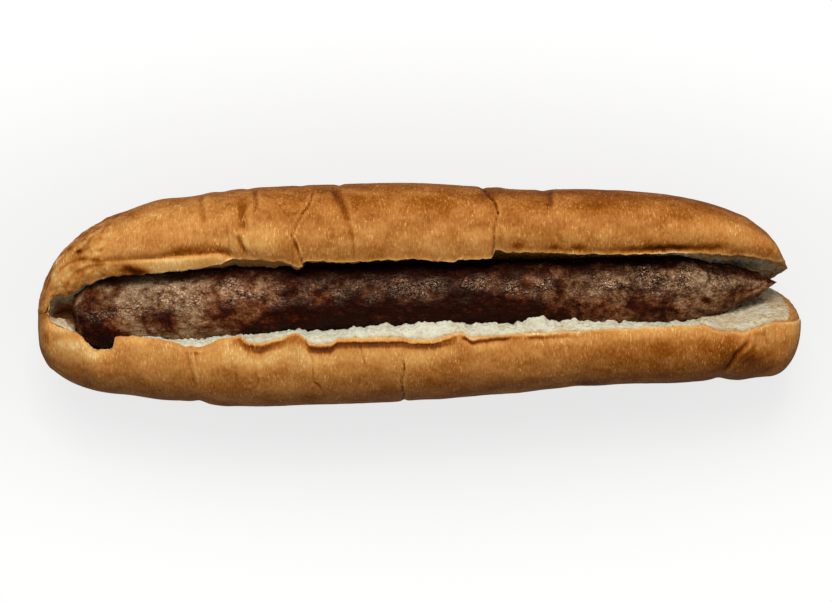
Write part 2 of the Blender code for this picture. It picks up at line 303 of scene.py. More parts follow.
# Where each side's outline is dented or swollen: (x, depth, half width), a negative depth for a swelling.
UPPER_DENTS = (
    (-67, 0.4, 1.8), (-77, 0.5, 2.6), (-90, 1.4, 9), (-113, 0.9, 9), (-46, 0.3, 2), (-31, 0.6, 1.3),
    (25.5, 0.7, 1.2), (31.5, -0.4, 2.6), (49, 0.5, 2), (128, -0.4, 3), (138, 0.5, 1),
)
LOWER_DENTS = (
    (-86, 1, 3), (-76, -0.4, 4), (-112, 0.8, 9), (-93, 0.7, 7), (-5.5, 0.7, 1.2), (0, 0.3, 8), (62, 0.3, 4),
    (40, -0.4, 9), (100, -0.5, 12), (118.5, 1, 3.2), (127, -0.5, 3.5), (-146, -0.5, 1.2),
)


def dents(x, places):
    """The depth of all dents at x, each a bell curve."""
    return sum(depth * bell(x - place, width) for place, depth, width in places)


def side_reach(x, side):
    """A side's offset: slimmer towards +X, round at -X, the upper side drawn in to a tip at +X, dented."""
    reach = blend(*REACH[side], eased(x, *SLIMMING[side])) * near_round(x, *NEAR_ROUND[side])
    if side > 0:
        reach = reach * far_round(x, *UPPER_FAR_ROUND)
    return reach - dents(x, UPPER_DENTS if side > 0 else LOWER_DENTS)


def top_height(x, side):
    """The height of a wall's crest, which comes down to the waist towards both ends."""
    return WAIST + (TOP[side] - WAIST) * near_round(x, *TOP_NEAR_ROUND) * far_round(x, *TOP_FAR_ROUND[side])


def underside_height(x):
    """The height of the underside: on the ground in the middle, lifting towards both ends."""
    return WAIST * (1 - near_round(x, *UNDER_NEAR_ROUND) * far_round(x, *UNDER_FAR_ROUND))


def outer_side(x, side, top, lip):
    """Offsets and heights of a side's crust: flat, two superellipse quarters, then a parabola to the lip."""
    reach = side_reach(x, side)
    rest = REST_SHARE * reach
    ground = underside_height(x)
    waist = np.full_like(x, WAIST)
    crest_share, lip_drop = CREST[side]
    crest = blend(lip, reach, crest_share)
    over_columns, lip_columns = WALL_COLUMNS[side]
    flat_share = np.linspace(0, 1, FLAT_COLUMNS + 1)
    flat = [rest[:, None] * flat_share, ground[:, None] + 0 * flat_share]
    under = quarter((rest, ground), (reach, waist), CRUST_POWER, UNDER_COLUMNS, True)
    over = quarter((reach, waist), (crest, top), CRUST_POWER, over_columns, False)
    inward = np.linspace(0, 1, lip_columns + 1)[1:]
    drop = lip_drop * (top - WAIST) / (TOP[1] - WAIST) * eased(x, *SPLIT_CLOSES[::-1])
    roll_in = [columns_between(crest, lip, inward), top[:, None] - drop[:, None] * inward**2]
    return [np.concatenate([piece[k] for piece in (flat, under, over, roll_in)], axis=1) for k in (0, 1)]


def lip_offsets(x):
    """The two lips' offsets: at -X they meet in a seam, which leans to the upper side."""
    places = on_axis(x)
    torn = eased(x, SPLIT_CLOSES[1] + 1, SPLIT_CLOSES[0] + 2) * eased(x, FORK, FORK - 3)
    lips = []
    for lip, seed in ((UPPER_LIP, 41), (LOWER_LIP, 42)):
        ragged = 0.25 * value_noise(places, 2.3, seed) + 0.16 * value_noise(places, 0.95, seed)
        lips.append(along(lip, x) + ragged * torn)
    upper = np.minimum(lips[0], LIP_LIMIT * side_reach(x, 1))
    return upper, np.clip(lips[1], SEAM_GAP - upper, LIP_LIMIT * side_reach(x, -1))


def section_points(x, side, offsets, heights):
    """Points in space from a side's offsets from the split's line and heights, one row for each x."""
    depth = np.broadcast_to(x[:, None], offsets.shape)
    return np.stack([depth, split_line(x)[:, None] + side * offsets, heights], axis=2)


def side_points(x, side):
    """The crust of one side as points, rows along X and columns from the bottom's middle to the lip."""
    top = top_height(x, 1)
    if side < 0:
        top = blend(top_height(x, -1), top, eased(x, *SPLIT_CLOSES))
    lip = lip_offsets(x)[0 if side > 0 else 1]
    return section_points(x, side, *outer_side(x, side, top, lip))


def tip_rows(last, side):
    """Rows that close a wall's tip: its last row shrunk about the tip's point by a superellipse."""
    tip, powers = TIPS[side]
    share = 1 - (1 - np.arange(1, TIP_ROWS) / TIP_ROWS) ** 2
    scale = round_off(share, 1, *powers)
    point = np.array(tip) + (0, split_line(FORK), 0)
    rows = blend(point, last, scale[:, None, None])
    rows[..., 0] = blend(FORK, point[0], share[:, None])
    return rows, point, scale


def tip_fade(rows):
    """1 for each row, easing to 0 over the last rows of a tip."""
    last = len(rows) - 1
    return eased(np.arange(len(rows)), last, last - TIP_FADE_ROWS)[:, None]


def row_places():
    """Where the sections stand: close together round the near end, then evenly to the fork."""
    turn = np.linspace(0, np.pi / 2, POLE_ROWS + 1)[1:]
    near = NEAR_END + POLE_LENGTH * (1 - np.cos(turn))
    count = round((FORK - near[-1]) / ROW_STEP)
    return np.concatenate([near, np.linspace(near[-1], FORK, count + 1)[1:]])


def outward(rows, side):
    """Unit normals of a grid of points, from its central differences, pointing out of the roll."""
    down, across = np.gradient(rows, axis=0), np.gradient(rows, axis=1)
    normal = np.cross(down, across) * -side
    return normal / np.maximum(np.linalg.norm(normal, axis=2, keepdims=True), 1e-9)


# ---- relief on the crust


# Soft creases in plan: (points, half width, depth, how much they darken). A negative depth is a ridge.
# The darkening is painted shade in the crease, with a painted highlight on the ridge at its +X side; a
# negative darkening is a painted highlight along a ridge.
CREASES = (
    (((-84.9, 39), (-83.8, 35), (-82.6, 31), (-81.4, 26)), 1.2, 0.7, 0.42),
    (((-86, 27.5), (-84.8, 22.5)), 0.8, 0.4, 0.3),
    (((-72.9, 27), (-72.2, 21), (-71.2, 14.6)), 0.6, 0.4, 0.3),
    (((-66.8, 36), (-67.4, 30), (-65.9, 23.5)), 1.5, 1.4, 0.7),
    (((-68.2, 22.2), (-67.2, 18.6), (-65.6, 15.2)), 0.9, 1.1, 0.85),
    (((-64.1, 42), (-62, 35), (-61.3, 30)), 1, 0.8, 0.42),
    (((-33.5, 43), (-31, 38), (-28.6, 34), (-27, 29), (-26.4, 25)), 1.3, 1, 0.55),
    (((-25.8, 26), (-24.9, 20.5), (-24.5, 14)), 0.7, 0.6, 0.5),
    (((-5.8, 32), (-2.7, 27.5), (-1.9, 25)), 0.7, 0.3, 0.12),
    (((51.6, 42), (50.5, 35), (49.5, 32)), 1.1, 0.7, 0.42), (((52.8, 23.6), (55.2, 18.7)), 0.9, 0.5, 0.35),
    (((-136, 2.5), (-134.5, 5.2), (-130.8, 8.4), (-126.2, 10), (-120.5, 11)), 0.9, 0.6, 0.45),
    (((-138, 9.5), (-135, 13), (-131, 15.5)), 1.1, 0.4, 0.3),
    (((-142, 6), (-138, 10.2), (-132, 13), (-124, 14.6)), 0.8, 0.5, 0.45),
    (((-143.5, 11), (-140, 17), (-135, 21)), 0.9, 0.3, 0.28),
    (((-134, 19.5), (-127, 21.5), (-118, 21)), 0.7, 0.3, 0.28),
    (((-88.2, -21.5), (-87.2, -29), (-85.5, -36)), 0.55, 0.5, 0.42),
    (((-71.5, -24.4), (-69, -36)), 0.8, 0.4, 0.22), (((-62.8, -24.4), (-61, -36)), 0.7, 0.4, 0.25),
    (((-42.2, -21.4), (-40.1, -26), (-39.9, -33.6), (-37.6, -36), (-36.2, -39)), 0.45, 0.45, 0.55),
    (((-22.6, -18.5), (-21.4, -23.2), (-20.3, -28)), 0.5, 0.45, 0.5),
    (((127.6, -16.5), (126, -19.5), (122.4, -22.5), (120.4, -27), (117.6, -31.5)), 0.75, 0.9, 0.85),
    (((132.9, -14.5), (135.2, -20)), 0.9, 0.5, 0.5),
    (((-86.4, -21.5), (-85.4, -29), (-83.8, -35)), 0.5, -0.3, -0.45),
    (((54.4, -16.4), (56.5, -21.3), (57.6, -26.4)), 0.7, -0.4, -0.4),
    (((123.2, -26.8), (128.1, -22.9), (132.3, -19.9)), 0.4, -0.12, -0.4),
)
# Cracks: (points, half width, depth, how dark, how pale their torn edges are). The dark is painted shade in
# the crack; the pale edges are partly torn crust and partly a painted highlight.
CRACKS = (
    (((-40.4, 39), (-42, 33.3), (-44.3, 30.6), (-46.5, 26), (-48.1, 22.6)), 0.34, 0.35, 0.8, 0.15),
    (((-48, 22.3), (-46.5, 18.6), (-45, 14.6), (-43.9, 11.5)), 0.55, 0.9, 1, 0.8),
    (((26.2, 40), (28, 36.5), (29.8, 34.2), (30.4, 31.3)), 0.45, 0.7, 0.95, 0.1),
    (((30.3, 31.3), (29, 26.3), (28.6, 20.6), (28.6, 14.5)), 0.34, 0.5, 0.8, 0.25),
    (((-7.7, -22), (-5.4, -26), (-5, -29.8), (-6.2, -33), (-5.5, -41)), 0.36, 0.45, 0.85, 0.35),
)
# The band that the upper lip folds into at the left: its fold's line. The crease above it gets painted shade.
FOLD = (
    (-137, 7.6), (-133.5, 10.3), (-127.3, 11.7), (-121.3, 12.3), (-107.7, 12.6), (-98.2, 13), (-86.8, 14),
    (-77.3, 14.8), (-71.8, 13.9),
)
# A dent above the fold, darkened with painted shade.
NOTCH = ((-92, 15.6), (-87, 16.9), (-81, 17.8), (-75.6, 16.9), (-72.6, 15.3))
# Along the long groove just above the upper lip at the right: (x, strength) of its dent and its painted
# shade.
GROOVE_STRENGTH = (
    (46, 0), (52, 0.25), (57, 0.05), (61, 0.4), (66, 0.05), (74, 0.25), (84, 0.75), (92, 1), (103, 0.9),
    (108, 0.5), (112, 0.7), (121, 0),
)
# Along the fold just outside the lower lip: (x, strength) of its dent, its painted shade and the painted
# highlight past it.
FOLD_STRENGTH = (
    (-73, 0), (-67, 0.7), (-60, 0.85), (-53, 0.8), (-49, 0.4), (-43.5, 0.3), (-41, 1.1),
    (-32, 1.1), (-29, 0.95), (-18, 1), (-14, 0.9), (-6, 0.95), (8, 1), (14, 0.6), (16, 0.2), (18, 0.95),
    (32, 0.9), (37, 0.3), (41, 0.25), (43, 0.75), (51, 0.65), (55, 0.5), (60, 0.25), (66, 0.1), (138, 0),
)
# Blotches: (x, y, radius along x, radius along y, tone). Tones below 0 are browner and above 0 paler. Among
# them, the paler ones at (-58, 19), (-133, -19.2), (-125.5, -23) and (-139.5, -13.2) are painted highlights
# on a bulge and along the lower wall's near end, and the browner ones at (120, -22) and (133.5, -27) are
# painted shade where the lower wall rolls away at the far end.
BLOTCHES = (
    (37.7, 18.7, 1.8, 1.2, -0.5), (52.2, 18, 1.4, 1.2, -0.5), (60.9, 18.2, 3.2, 1.6, -0.7),
    (-130.1, 16.6, 1.7, 0.9, -1.6), (-111, 9.4, 3, 1.6, -1.8), (-106, 8.2, 3.4, 1.7, -2.1),
    (-125.3, 15.9, 4, 1.6, 0.45), (-112, 18, 9, 2, 0.15), (66.7, -35.5, 5, 1.5, -0.8),
    (-85.2, -22.9, 1.6, 0.6, -1), (-146.9, -22, 0.8, 0.8, -0.8), (135.2, 17, 1.2, 1.2, -0.35),
    (-145.2, -5, 1.6, 4.5, -0.8), (-143.2, -9.5, 2, 2.6, -0.8), (-144, -16, 2.2, 3, -0.5),
    (-141, 14, 3, 4, 0.25), (-143, 4, 1.6, 5, -0.35), (-129, 13.2, 3, 1.2, -0.5), (-119, 28, 16, 8, -0.12),
    (120, -22, 7, 6, -0.4), (-46, -15.4, 3.5, 1.2, -0.35), (133.5, -27, 6, 4, -0.3),
    (62.2, -24.8, 1, 0.7, 0.3), (73.5, -28.3, 2, 0.6, 0.3), (77.5, -29.9, 2, 0.6, 0.3),
    (-58, 19, 7.5, 4, 0.45), (-138.5, 8, 4, 4, 0.45), (-133, -19.2, 7, 2.4, 0.95),
    (-125.5, -23, 6.5, 2.2, 0.75), (-139.5, -13.2, 3.5, 1.6, 0.8), (-57, -27, 26, 4.5, 0.3),
    (-136, 15, 5, 2.4, 0.3), (-29, 22, 2, 6, 0.2), (-46, -22, 4.5, 3, 0.3), (27, 39, 2.6, 2, -0.5),
    (-6, 33, 12, 5, 0.12), (-135.5, 1, 3, 3, -0.4),
)
# Broad swellings and hollows: (x, y, radius along x, radius along y, height).
SWELLINGS = (
    (-57.5, 17.5, 8, 5.5, 1.3), (-76, 21, 5, 3, -0.9), (-46.5, -18.5, 4, 3, 0.9), (-29, 20, 2.5, 8, 0.5),
    (-20, 22, 4, 9, 0.3), (35, 22, 5, 6, 0.4), (-86, -30, 2.5, 8, -0.6), (-75, -26, 6, 6, 0.4),
    (129.5, -24, 4, 4, 0.6), (119, -24, 4, 6, -0.6), (-100, 24, 9, 6, 0.5), (-127, 6, 5, 3, -0.5),
)


def line_distance(points, line):
    """Distance in plan from each point to the nearest stretch of a line, below 0 at its -X side, and the
    share along the line.
    """
    line = np.array(line, float)
    lengths = np.linalg.norm(np.diff(line, axis=0), axis=1)
    reached = np.concatenate([[0], np.cumsum(lengths)])
    nearest = np.full(points.shape[:-1], np.inf)
    share = np.zeros(points.shape[:-1])
    for start, end, before, length in zip(line, line[1:], reached, lengths):
        run = end - start
        part = np.clip(((points[..., :2] - start) @ run) / (run @ run), 0, 1)
        gap = points[..., :2] - start - part[..., None] * run
        away = np.linalg.norm(gap, axis=-1) * np.where(gap[..., 0] < 0, -1, 1)
        closer = np.abs(away) < np.abs(nearest)
        share = np.where(closer, (before + part * length) / reached[-1], share)
        nearest = np.where(closer, away, nearest)
    return nearest, share


def crust_relief(points, side):
    """How far each crust point is moved outward, and its tone: below 0 browner, above 0 paler.

    Broad swells and fine grain are noise. Creases, cracks, folds, swellings and blotches are bell curves of
    the distance in plan to their lines and spots. They act only where the crust faces up. Their tone holds
    painted shade in the creases, cracks, folds, the notch, the groove above the upper lip and some browner
    blotches, and painted highlights on the creases' ridges, in part on the cracks' edges, along the upper
    lip's edge, past the lower fold and on some paler blotches. The two numbers after x in eased are the
    places along the roll between which a mark comes or goes.
    """
    x, y = points[..., 0], points[..., 1]
    wander = bent_by(points, 0.5, 5, 3)
    patchy = 0.5 + 0.5 * fractal(points, 3, 2, 15)
    uneven = 0.6 + 0.6 * patchy
    height = 0.35 * fractal(points, (16, 14, 14), 2, 11)
    height += 0.06 * fractal(points, (2.2, 5.5, 5.5), 3, 12)
    tone = 0.32 * fractal(points, (18, 12, 12), 3, 13) + 0.05 * fractal(points, (1.4, 5, 5), 2, 14)
    on_top = eased(points[..., 2], 30, 44)
    # Creases: a dent with painted shade in it, and a ridge with a painted highlight at its +X side.
    for line, width, depth, dark in CREASES:
        if (line[0][1] > 0) == (side > 0):
            away, share = line_distance(wander, line)
            ends = (eased(share, -0.02, 0.2) * eased(share, 1.02, 0.75) * 0.8 + 0.2) * on_top
            height += (0.5 * bell(away - 2 * width, 1.4 * width) - bell(away, width)) * depth * ends
            pale = 0.45 * bell(away - 1.7 * width, width) * (0.4 + 0.8 * patchy)
            tone -= dark * (bell(away, width * 0.8) * uneven - pale) * ends
    # Cracks: painted shade in the crack, and pale edges, partly torn crust and partly painted highlight.
    for line, width, depth, dark, pale in CRACKS:
        if (line[0][1] > 0) == (side > 0):
            away, _ = line_distance(wander, line)
            torn = np.clip(2.4 * patchy - 0.35, 0.15, 1) * on_top
            height += (0.2 * bell(np.abs(away) - 1.1, 0.7) - depth * bell(away, width)) * torn
            tone += (pale * bell(away - 0.8, 0.45) - dark * bell(away, width)) * torn
            tone += 0.15 * bell(np.abs(away) - 0.9, 0.6) * torn
    for place, across, long, wide, strength in BLOTCHES:
        if (across > 0) == (side > 0):
            spot = bell(np.hypot((wander[..., 0] - place) / long, (wander[..., 1] - across) / wide), 1)
            tone += strength * spot * on_top * (0.5 + patchy)
    for place, across, long, wide, strength in SWELLINGS:
        if (across > 0) == (side > 0):
            height += strength * bell(np.hypot((x - place) / long, (y - across) / wide), 1) * on_top
    upper_lip, lower_lip = lip_offsets(x)
    if side > 0:
        # The fold at the left: a crease above its line, darkened with painted shade, and a paler band below
        # it.
        away, _ = line_distance(wander, FOLD)
        line_y = np.interp(x, *np.array(FOLD).T)
        above = eased(y - line_y, -0.2, 0.4)
        ends = eased(x, -138.5, -131) * eased(x, -69.5, -76)
        tuck = np.where(y > line_y, bell(away, 1.9), bell(away, 0.45)) * ends
        tuck = tuck * (0.35 + 0.65 * eased(x, -122, -92)) * (0.55 + 0.8 * patchy)
        height -= 1.3 * tuck
        tone = tone - 0.6 * tuck * above + 0.42 * ends * (1 - above) * eased(x, -116, -100)
        # The notch: a dent with painted shade in it.
        away, _ = line_distance(wander, NOTCH)
        height -= 0.8 * bell(away, 2.4)
        tone -= 0.6 * bell(away, 2) * uneven
        # The long groove above the upper lip at the right: a dent with painted shade in it.
        above_lip = wander[..., 1] - split_line(x) - upper_lip - 1.1 - 0.8 * eased(x, 104, 118)
        groove = np.where(above_lip > 0, bell(above_lip, 1.5), bell(above_lip, 0.6))
        groove = groove * along(GROOVE_STRENGTH, x)
        height -= groove
        tone -= 1.15 * groove * uneven
        from_lip = y - split_line(x) - upper_lip
        # A curl along the upper lip's edge with a painted highlight on it.
        rim = on_top * eased(x, -84, -70) * (0.4 + patchy)
        height += 0.3 * bell(from_lip, 0.7) * rim
        tone += 0.8 * bell(from_lip, 0.5) * rim
        wrinkled = eased(x, -112, -122) * on_top
        height += 0.6 * fractal(wander, (3.2, 2.2, 2.2), 2, 17) * wrinkled
        tone += (0.1 + 0.9 * fractal(wander, (2.8, 1.9, 1.9), 2, 18)) * wrinkled
        tone -= 0.45 * bell(from_lip, 1.6) * eased(x, -100, -110) * patchy
        tone -= 0.9 * bell(from_lip - 0.9, 1.2) * bell(x - 101, 9) * patchy
        # A painted highlight on the upper lip's edge at the right.
        tone += 1.2 * bell(from_lip, 0.4) * bell(x - 95, 11) * on_top
    else:
        # The fold outside the lower lip: a dent with painted shade in it and a painted highlight past it.
        outside = split_line(x) - lower_lip - y + 0.5 * (wander[..., 1] - y)
        strength = along(FOLD_STRENGTH, x) * (0.75 + 0.5 * patchy) * on_top
        broad = 4.8 - 1.9 * eased(x, 13, 17)
        start = 0.3 + 0.6 * eased(x, -33, -29) * eased(x, 14, 11)
        groove = eased(outside, start, start + 0.8) * eased(outside, broad, 0.62 * broad) * strength
        height -= 0.8 * bell(outside - 1.3, 1.1) * strength
        tone -= 1.5 * groove
        tone += 0.3 * bell(outside - 1.4 * broad, 0.5 * broad) * strength
        tone += 0.5 * bell(outside, 0.9) * eased(x, -68, -56) * (0.4 + patchy) * on_top
    return height, tone


def browning(points, normal, side):
    """Tone by place: paler by the split, browner over the crest and round the sides, pale beneath, as baked;
    and on the lower wall towards +X, painted shade away from the lip.
    """
    x, up = points[..., 0], normal[..., 2]
    tone = -0.28 * eased(up, 0.75, 0.1) + 0.05 * eased(up, 0, -0.8)
    upper_lip, lower_lip = lip_offsets(x)
    if side > 0:
        from_lip = np.abs(points[..., 1] - split_line(x) - upper_lip)
        tone = tone - 0.28 + 0.16 * bell(from_lip, 8) * eased(x, 70, 30) + 0.24 * eased(x, -45, -75)
        tone -= 0.22 * bell(from_lip - 22, 7) * eased(x, -60, -20)
        tone = tone - 0.14 * bell(from_lip - 14.5, 5) + 0.13 * bell(from_lip - 7.5, 4.5) * eased(x, -30, 0)
    else:
        from_lip = np.abs(split_line(x) - lower_lip - points[..., 1])
        tone = tone + 0.1 * bell(from_lip, 6) - 0.25 * eased(from_lip, 6, 16)
        # On the lower wall towards +X: darker away from the lip, a painted shade where the wall rolls away.
        darker = eased(x, 50, 75) * eased(from_lip, 2, 7) * eased(x, 138, 126)
        tone -= 0.5 * darker * (1 - 0.6 * eased(from_lip, 9, 15))
    return tone


# ---- meshes


def add_object(name, data):
    """A new object in the scene."""
    made = bpy.data.objects.new(name, data)
    bpy.context.scene.collection.objects.link(made)
    return made


def add_mesh(name, points, faces, material, values, sharp=None):
    """One piece from points in millimetres, doubles merged, with point values for its material to read."""
    mesh = bpy.data.meshes.new(name)
    mesh.from_pydata((points * MM).tolist(), [], faces)
    for label, numbers in values:
        mesh.attributes.new(label, "FLOAT", "POINT").data.foreach_set("value", numbers.astype(np.float32))
    sheet = bmesh.new()
    sheet.from_mesh(mesh)
    bmesh.ops.remove_doubles(sheet, verts=sheet.verts, dist=1e-7)
    bmesh.ops.recalc_face_normals(sheet, faces=sheet.faces)
    sheet.to_mesh(mesh)
    sheet.free()
    mesh.materials.append(material)
    mesh.shade_smooth()
    if sharp is not None:
        mesh.set_sharp_from_angle(angle=math.radians(sharp))
    return add_object(name, mesh)


def band_faces(rows):
    """Faces between closed rows of point numbers: each with its neighbours in the next row."""
    here, there = rows[:-1], rows[1:]
    quads = np.stack([here, np.roll(here, -1, 1), np.roll(there, -1, 1), there], axis=2)
    return quads.reshape(-1, 4).tolist()


def forked_body(body, floor, tips, near_cap):
    """Points and faces of a body that is one tube and then two: closed rows, parted at column 0 and floor.

    near_cap and each tip's last row hold the end's own points, one for each column, merged later.
    """
    points = [near_cap[None], body]
    count = body.shape[1]
    rows = np.arange((len(body) + 1) * count).reshape(-1, count)
    faces = band_faces(rows)
    total = rows.size
    walls = (rows[-1][: floor + 1], np.append(rows[-1][floor:], rows[-1][0]))
    for wall, added in zip(walls, tips):
        extra = np.arange(total, total + added.shape[0] * added.shape[1]).reshape(added.shape[:2])
        faces += band_faces(np.concatenate([wall[None], extra]))
        points.append(added)
        total += extra.size
    return np.concatenate([block.reshape(-1, 3) for block in points]), faces


def crust_sides(x):
    """For each side: its rows to the tip, outward normals, relief, tone, thickness and tip's point."""
    made = {}
    for side in TIPS:
        base = side_points(x, side)
        extra, point, scale = tip_rows(base[-1], side)
        rows = np.concatenate([base, extra])
        normal = outward(rows, side)
        relief, tone = crust_relief(rows, side)
        relief = relief * eased(np.arange(rows.shape[1]), 0, SETTLE_COLUMNS) * tip_fade(rows)
        opening = np.sum(lip_offsets(np.minimum(rows[:, 0, 0], FORK)), axis=0)
        skin = np.minimum(1, TIP_SKIN * np.concatenate([np.ones(len(base)), scale]))
        made[side] = {
            "rows": rows, "normal": normal, "relief": relief, "outer": rows + normal * relief[..., None],
            "tone": tone + browning(rows, normal, side), "skin": SKIN * skin[:, None], "point": point,
            "open": eased(opening, 0, OPEN_FROM)[:, None],
        }
    return made


def torn_edge(part, side, depth, run):
    """Points of the torn edge: depth skins below the outer lip, and run skins on past it."""
    lip = part["outer"][:, -1]
    ahead = lip - part["outer"][:, -4]
    ahead = ahead / np.maximum(np.linalg.norm(ahead, axis=1, keepdims=True), 1e-6)
    ragged = 1 + 0.35 * fractal(part["rows"][:, -1], 1.6, 3, 31 + side)[:, None]
    slant = part["skin"] * SKIN_SLANT * ragged * part["open"]
    return lip - part["normal"][:, -1] * depth * part["skin"] + ahead * run * slant


def inside_wall(part, side, depth, edge):
    """A wall inside the crust: every few columns, depth skins below the lowest relief near each of them, with
    a point of the torn edge as the last one.
    """
    reach = range(-INNER_STRIDE, INNER_STRIDE + 1)
    low = np.minimum.reduce([np.roll(part["relief"], step, axis=1) for step in reach])
    count = low.shape[1]
    few = np.unique(np.append(np.arange(0, count, INNER_STRIDE), count - 1))
    wall = (part["rows"] + part["normal"] * (low - depth * part["skin"])[..., None])[:, few]
    wall[:, -1] = torn_edge(part, side, *edge)
    return wall


def joined_sides(sides, body):
    """One loop for each body row from the two sides' columns, and each side's own columns past the fork."""
    upper, lower = sides[1], sides[-1]
    return np.concatenate([upper[:body], lower[:body, -2:0:-1]], axis=1), upper[body:], lower[body:, ::-1]


def add_forked(name, walls, tones, ends, near_end, material, sharp=None):
    """A closed piece from both walls' rows: one tube to the fork and then two, with a tone at each point.

    ends holds the points that each wall's tip closes on and near_end those at -X.
    """
    body = len(walls[1]) - TIP_ROWS + 1
    for side, wall in walls.items():
        walls[side] = np.concatenate([wall, np.broadcast_to(ends[side], wall[:1].shape)])
        tones[side] = np.concatenate([tones[side], tones[side][-1:]])
    loop, *tips = joined_sides(walls, body)
    near_cap = np.broadcast_to(near_end, loop[0].shape)
    points, faces = forked_body(loop, walls[1].shape[1] - 1, tips, near_cap)
    loop, *tips = joined_sides(tones, body)
    values = np.concatenate([block.reshape(-1) for block in (loop[:1], loop, *tips)])
    return add_mesh(name, points, faces, material, [("tone", values)], sharp)


def build_crust(sides, material):
    """The crust: a thin skin round the whole roll, torn open along the split and at the far end.

    Each wall runs over its outer columns, the middle of the torn edge, and the inner columns back down.
    """
    walls, tones, ends = {}, {}, {}
    for side, part in sides.items():
        inner = inside_wall(part, side, 1, (1, 1))[:, ::-1]
        middle = torn_edge(part, side, *EDGE_MIDDLE)[:, None]
        walls[side] = np.concatenate([part["outer"], middle, inner], axis=1)
        edge = 1.05 * eased(part["rows"][:, :1, 0], -112, -98) - 0.2
        inside = np.full(inner.shape[:2], INSIDE_TONE)
        tones[side] = np.concatenate([part["tone"], edge, inside], axis=1)[..., None]
        count = part["rows"].shape[1]
        set_in = np.arange(walls[side].shape[1]) > count
        ends[side] = part["point"] - set_in[:, None] * (CRUST_TIP_SET_IN * SKIN, 0, 0)
    turned = np.arange(2 * walls[1].shape[1] - 2)
    set_in = (turned > count) & (turned <= len(turned) - count)
    near_end = (NEAR_END, split_line(NEAR_END), WAIST) + set_in[:, None] * (SKIN, 0, 0)
    return add_forked("crust", walls, tones, ends, near_end, material, CRUST_SHARP)


# ---- the crumb


# How far from the split's line the pale crumb reaches in over the kofta at the lower side.
CRUMB_EDGE = (
    (-150, -3), (-143, -2.6), (-141, -1.9), (-138.6, -1.3), (-135, 1.7), (-132, 5.3), (-130, 9.5),
    (-128, 13), (-112, 14), (-104, 12), (-97, 12.5), (-60, 12.6), (-49.5, 12.1), (-34, 12.5), (-28, 12),
    (-25, 11.2), (-21.5, 11.9), (-18, 10.9), (-13, 10.4), (-9, 11.7), (-4, 10.6), (3, 10.2), (6, 10.9),
    (9, 10.2), (17, 10.3), (20, 11.6), (23, 10.7), (36, 11.2), (40, 10.3), (43, 9.2), (48, 9), (51, 10.6),
    (60, 10.2), (70, 11), (86, 11.6), (93.5, 12.3), (138, 12),
)
# How far the upper wall's crumb stands out under its lip: below 0 it shows past the lip.
UPPER_FACE = (
    (-132, -0.6), (-118, 0.4), (-84, 0.3), (-76, -1.2), (-66, -2.8), (-56, -2.4), (-47, -0.5),
    (-43, 0.3), (-40, -0.3), (-26, -0.3), (-20, 0.4), (92, 0.5), (105, -0.6), (138, -1),
)
LEDGE_COLUMNS = 16
WELL_COLUMNS = 22
KOFTA_ROOM = 0.8


def kofta_radius(x):
    """The kofta's radius: a little thinner towards +X, blunt at -X, drawn out at +X."""
    length, power = KOFTA_BLUNT
    blunt = near_round(x, KOFTA_START + length, length, power, power)
    taper = far_round(x, KOFTA_TAPER_START, KOFTA_END - KOFTA_TAPER_START, *KOFTA_TAPER_POWERS)
    return (KOFTA_RADIUS - KOFTA_THINNING * x) * blunt * taper


def kofta_shift(x):
    """How far the kofta's line lies from the split's line: it drifts to the upper side at both ends."""
    return KOFTA_NEAR_SHIFT * eased(-x, 95, 130) + KOFTA_FAR_SHIFT * eased(x, 110, 138)


def bed_height(x, lip_height):
    """The height of the split's bed: level under the kofta, up to the fork, and up behind the blunt end."""
    bed = blend(WAIST, GROOVE_FLOOR, near_round(x, *BED_NEAR_ROUND))
    fork = underside_height(np.full_like(x, FORK)) + FORK_FLOOR_ROOM
    bed = blend(bed, fork, eased(x, GROOVE_SINKS_FROM, FORK))
    return blend(bed, lip_height - BED_TO_LIP, eased(x, *BED_RISES))


